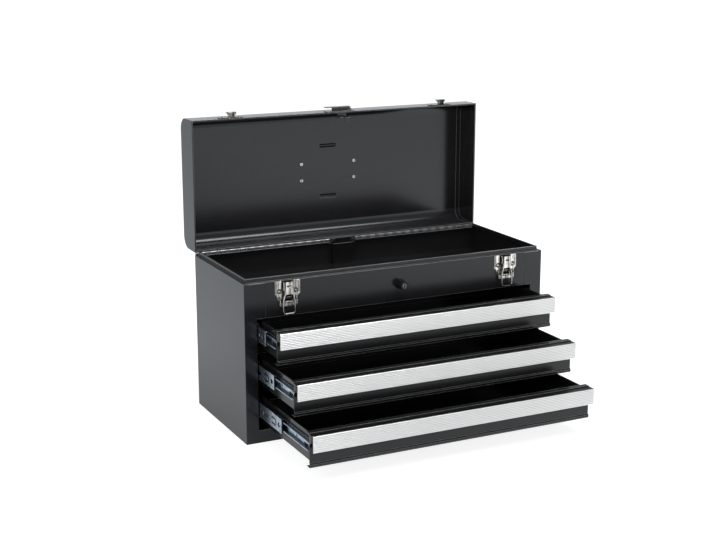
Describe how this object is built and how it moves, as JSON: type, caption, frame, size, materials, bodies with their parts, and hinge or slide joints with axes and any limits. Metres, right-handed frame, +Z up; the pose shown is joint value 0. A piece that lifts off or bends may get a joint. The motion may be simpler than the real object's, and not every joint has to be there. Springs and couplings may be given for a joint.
{
  "type": "portable tool box with drawers",
  "caption": "Portable steel tool box with a lift-up lid over a till, drawers on ball-bearing slides, draw latches, a centre lock and a folding carrying handle.",
  "frame": {"origin": "on the resting face, under the middle of the cabinet", "axes": "+X to the right along the drawer fronts, -Y out of the front where the drawers open, +Z up"},
  "size_m": [0.52, 0.4762, 0.4755],
  "materials": {
    "body_paint": "black enamel, slightly textured, on sheet steel",
    "inside_paint": "thin black enamel on the inner sheet steel",
    "zinc": "bright zinc plating, rolled",
    "nickel": "polished nickel plating",
    "aluminium": "satin bright anodised extrusion with fine ribs",
    "steel": "bright steel",
    "black_plastic": "moulded, slightly worn black plastic",
    "lock_black": "black japanned die casting"
  },
  "bodies": {
    "cabinet": {"side_panel_left": "body_paint", "side_panel_right": "body_paint", "back_panel": "body_paint", "bottom_panel": "body_paint", "fascia": "body_paint", "till_floor": "inside_paint", "slide_carrier_left": "inside_paint", "slide_carrier_right": "inside_paint", "hinge_leaf_body": "body_paint", "hinge_pin": "steel", "latch_base_left": "nickel", "latch_base_right": "nickel", "latch_rivets": "nickel", "latch_pins": "nickel", "lock_barrel": "lock_black", "lock_nut": "zinc", "lock_bar_channel": "inside_paint", "slide_outer_1": "zinc", "slide_outer_2": "zinc", "slide_outer_3": "zinc", "lock_bar_spring": "steel"},
    "lid": {"lid_shell": "body_paint", "lid_end_left": "body_paint", "lid_end_right": "body_paint", "hinge_leaf_lid": "body_paint", "strike_left": "nickel", "strike_right": "nickel", "lid_rivets": "nickel", "lid_lift": "body_paint", "lock_catch": "body_paint", "handle_saddles": "nickel"},
    "handle": {"handle_bail": "nickel", "handle_grip": "black_plastic"},
    "latch_left": {"latch_lever_left": "nickel"},
    "latch_right": {"latch_lever_right": "nickel"},
    "hook_left": {"latch_hook_left": "nickel"},
    "hook_right": {"latch_hook_right": "nickel"},
    "lock": {"lock_plug": "steel", "lock_cam": "zinc"},
    "bar": {"lock_bar": "inside_paint"},
    "drawer_1": {"drawer_1": "inside_paint", "pull_1": "aluminium", "slide_inner_1": "zinc"},
    "slide_mid_1": {"slide_mid_1": "zinc"},
    "cage_outer_1": {"cage_outer_1": "steel"},
    "cage_inner_1": {"cage_inner_1": "steel"},
    "drawer_2": {"drawer_2": "inside_paint", "pull_2": "aluminium", "slide_inner_2": "zinc"},
    "slide_mid_2": {"slide_mid_2": "zinc"},
    "cage_outer_2": {"cage_outer_2": "steel"},
    "cage_inner_2": {"cage_inner_2": "steel"},
    "drawer_3": {"drawer_3": "inside_paint", "pull_3": "aluminium", "slide_inner_3": "zinc"},
    "slide_mid_3": {"slide_mid_3": "zinc"},
    "cage_outer_3": {"cage_outer_3": "steel"},
    "cage_inner_3": {"cage_inner_3": "steel"}
  },
  "joints": [
    {"name": "lid_hinge", "type": "hinge", "parent": "cabinet", "child": "lid", "pos_m": [0, 0.1086, 0.2514], "axis": [1, 0, 0], "range_deg": [0, 90]},
    {"name": "handle_swing", "type": "hinge", "parent": "lid", "child": "handle", "pos_m": [0, 0.1628, 0.36], "axis": [1, 0, 0], "range_deg": [0, 158]},
    {"name": "lock_turn", "type": "hinge", "parent": "cabinet", "child": "lock", "pos_m": [0, -0.106, 0.222], "axis": [0, 1, 0], "range_deg": [0, 90]},
    {"name": "lock_bar_slide", "type": "slide", "parent": "cabinet", "child": "bar", "axis": [0, 0, -1], "range_m": [0, 0.006], "deforming": ["lock_bar_spring"]},
    {"name": "latch_left_turn", "type": "hinge", "parent": "cabinet", "child": "latch_left", "pos_m": [-0.1905, -0.11, 0.237], "axis": [-1, 0, 0], "range_deg": [0, 110]},
    {"name": "hook_left_turn", "type": "hinge", "parent": "latch_left", "child": "hook_left", "pos_m": [-0.1905, -0.11, 0.225], "axis": [-1, 0, 0], "range_deg": [-110, 0]},
    {"name": "latch_right_turn", "type": "hinge", "parent": "cabinet", "child": "latch_right", "pos_m": [0.1905, -0.11, 0.237], "axis": [-1, 0, 0], "range_deg": [0, 110]},
    {"name": "hook_right_turn", "type": "hinge", "parent": "latch_right", "child": "hook_right", "pos_m": [0.1905, -0.11, 0.225], "axis": [-1, 0, 0], "range_deg": [-110, 0]},
    {"name": "drawer_1_slide", "type": "slide", "parent": "cabinet", "child": "drawer_1", "axis": [0, -1, 0], "range_m": [-0.066, 0.116]},
    {"name": "slide_mid_1_run", "type": "slide", "parent": "cabinet", "child": "slide_mid_1", "axis": [0, -1, 0], "range_m": [-0.033, 0.058]},
    {"name": "cage_outer_1_run", "type": "slide", "parent": "cabinet", "child": "cage_outer_1", "axis": [0, -1, 0], "range_m": [-0.0165, 0.029]},
    {"name": "cage_inner_1_run", "type": "slide", "parent": "cabinet", "child": "cage_inner_1", "axis": [0, -1, 0], "range_m": [-0.0495, 0.087]},
    {"name": "drawer_2_slide", "type": "slide", "parent": "cabinet", "child": "drawer_2", "axis": [0, -1, 0], "range_m": [-0.126, 0.056]},
    {"name": "slide_mid_2_run", "type": "slide", "parent": "cabinet", "child": "slide_mid_2", "axis": [0, -1, 0], "range_m": [-0.063, 0.028]},
    {"name": "cage_outer_2_run", "type": "slide", "parent": "cabinet", "child": "cage_outer_2", "axis": [0, -1, 0], "range_m": [-0.0315, 0.014]},
    {"name": "cage_inner_2_run", "type": "slide", "parent": "cabinet", "child": "cage_inner_2", "axis": [0, -1, 0], "range_m": [-0.0945, 0.042]},
    {"name": "drawer_3_slide", "type": "slide", "parent": "cabinet", "child": "drawer_3", "axis": [0, -1, 0], "range_m": [-0.178, 0.004]},
    {"name": "slide_mid_3_run", "type": "slide", "parent": "cabinet", "child": "slide_mid_3", "axis": [0, -1, 0], "range_m": [-0.089, 0.002]},
    {"name": "cage_outer_3_run", "type": "slide", "parent": "cabinet", "child": "cage_outer_3", "axis": [0, -1, 0], "range_m": [-0.0445, 0.001]},
    {"name": "cage_inner_3_run", "type": "slide", "parent": "cabinet", "child": "cage_inner_3", "axis": [0, -1, 0], "range_m": [-0.1335, 0.003]}
  ],
  "couplings": [
    {"joint": "lock_bar_slide", "follows": "lid_hinge", "m_per_rad": 0.0038197},
    {"joint": "hook_left_turn", "follows": "latch_left_turn", "ratio": -1},
    {"joint": "hook_right_turn", "follows": "latch_right_turn", "ratio": -1},
    {"joint": "slide_mid_1_run", "follows": "drawer_1_slide", "ratio": 0.5},
    {"joint": "cage_outer_1_run", "follows": "drawer_1_slide", "ratio": 0.25},
    {"joint": "cage_inner_1_run", "follows": "drawer_1_slide", "ratio": 0.75},
    {"joint": "slide_mid_2_run", "follows": "drawer_2_slide", "ratio": 0.5},
    {"joint": "cage_outer_2_run", "follows": "drawer_2_slide", "ratio": 0.25},
    {"joint": "cage_inner_2_run", "follows": "drawer_2_slide", "ratio": 0.75},
    {"joint": "slide_mid_3_run", "follows": "drawer_3_slide", "ratio": 0.5},
    {"joint": "cage_outer_3_run", "follows": "drawer_3_slide", "ratio": 0.25},
    {"joint": "cage_inner_3_run", "follows": "drawer_3_slide", "ratio": 0.75}
  ]
}
